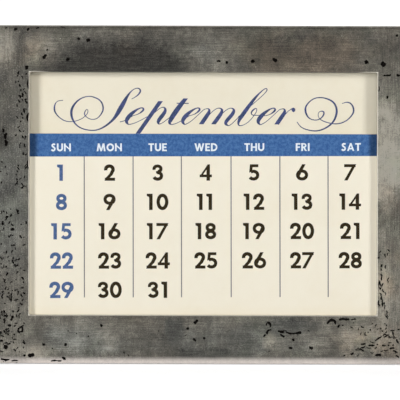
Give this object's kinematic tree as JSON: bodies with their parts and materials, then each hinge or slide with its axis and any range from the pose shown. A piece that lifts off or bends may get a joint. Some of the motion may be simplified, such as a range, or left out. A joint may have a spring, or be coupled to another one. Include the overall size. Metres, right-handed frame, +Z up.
{
  "type": "perpetual desk calendar",
  "caption": "Leaning metal frame with an open window, lift-out date cards and taller month cards standing behind it, and a hinged easel leg at the back.",
  "frame": {"origin": "middle of the underside of the felt strip under the frame, on the desk", "axes": "+X to the right as the cards are read, +Y from the face to the back, +Z up"},
  "size_m": [0.162, 0.0508, 0.1217],
  "materials": {
    "cast_metal": "sand-cast, ground flat by hand and darkened, mottled, with open casting pits",
    "plate_paint": "dark powder coat, fine texture",
    "leg_paint": "dark powder coat, fine texture",
    "screw_steel": "turned, with a sawn slot",
    "hinge_brass": "brushed, slightly tarnished",
    "pin_steel": "drawn wire with formed heads",
    "felt": "short-haired wool felt",
    "foot_rubber": "moulded, matt",
    "date_card": "uncoated card, printed in blue and brown-black",
    "month_card": "uncoated card, printed in violet-blue script"
  },
  "bodies": {
    "housing": {"frame": "cast_metal", "back_plate": "plate_paint", "back_screws": "screw_steel", "back_liner": "felt", "rest_strip": "felt", "hinge_leaf": "hinge_brass", "hinge_rivets": "hinge_brass", "hinge_pin": "pin_steel", "base_felt": "felt"},
    "leg": {"easel_leg": "leg_paint", "leg_foot": "foot_rubber"},
    "date_card_sun_mon": {"date_card_sun_mon": "date_card"},
    "date_card_tue_wed": {"date_card_tue_wed": "date_card"},
    "date_card_thu_fri": {"date_card_thu_fri": "date_card"},
    "date_card_sat_blank": {"date_card_sat_blank": "date_card"},
    "month_card_sep_oct": {"month_card_sep_oct": "month_card"},
    "month_card_nov_dec": {"month_card_nov_dec": "month_card"},
    "month_card_jan_feb": {"month_card_jan_feb": "month_card"},
    "month_card_mar_apr": {"month_card_mar_apr": "month_card"},
    "month_card_may_jun": {"month_card_may_jun": "month_card"},
    "month_card_jul_aug": {"month_card_jul_aug": "month_card"}
  },
  "joints": [
    {"name": "leg_fold", "type": "hinge", "parent": "housing", "child": "leg", "pos_m": [0, 0.02538, 0.09024], "axis": [1, 0, 0], "range_deg": [-23, 0]},
    {"name": "date_card_sun_mon_lift", "type": "slide", "parent": "housing", "child": "date_card_sun_mon", "axis": [0, 0.2079, 0.9781], "range_m": [0, 0.115]},
    {"name": "date_card_tue_wed_lift", "type": "slide", "parent": "housing", "child": "date_card_tue_wed", "axis": [0, 0.2079, 0.9781], "range_m": [0, 0.115]},
    {"name": "date_card_thu_fri_lift", "type": "slide", "parent": "housing", "child": "date_card_thu_fri", "axis": [0, 0.2079, 0.9781], "range_m": [0, 0.115]},
    {"name": "date_card_sat_blank_lift", "type": "slide", "parent": "housing", "child": "date_card_sat_blank", "axis": [0, 0.2079, 0.9781], "range_m": [0, 0.115]},
    {"name": "month_card_sep_oct_lift", "type": "slide", "parent": "housing", "child": "month_card_sep_oct", "axis": [0, 0.2079, 0.9781], "range_m": [0, 0.115]},
    {"name": "month_card_nov_dec_lift", "type": "slide", "parent": "housing", "child": "month_card_nov_dec", "axis": [0, 0.2079, 0.9781], "range_m": [0, 0.115]},
    {"name": "month_card_jan_feb_lift", "type": "slide", "parent": "housing", "child": "month_card_jan_feb", "axis": [0, 0.2079, 0.9781], "range_m": [0, 0.115]},
    {"name": "month_card_mar_apr_lift", "type": "slide", "parent": "housing", "child": "month_card_mar_apr", "axis": [0, 0.2079, 0.9781], "range_m": [0, 0.115]},
    {"name": "month_card_may_jun_lift", "type": "slide", "parent": "housing", "child": "month_card_may_jun", "axis": [0, 0.2079, 0.9781], "range_m": [0, 0.115]},
    {"name": "month_card_jul_aug_lift", "type": "slide", "parent": "housing", "child": "month_card_jul_aug", "axis": [0, 0.2079, 0.9781], "range_m": [0, 0.115]}
  ]
}
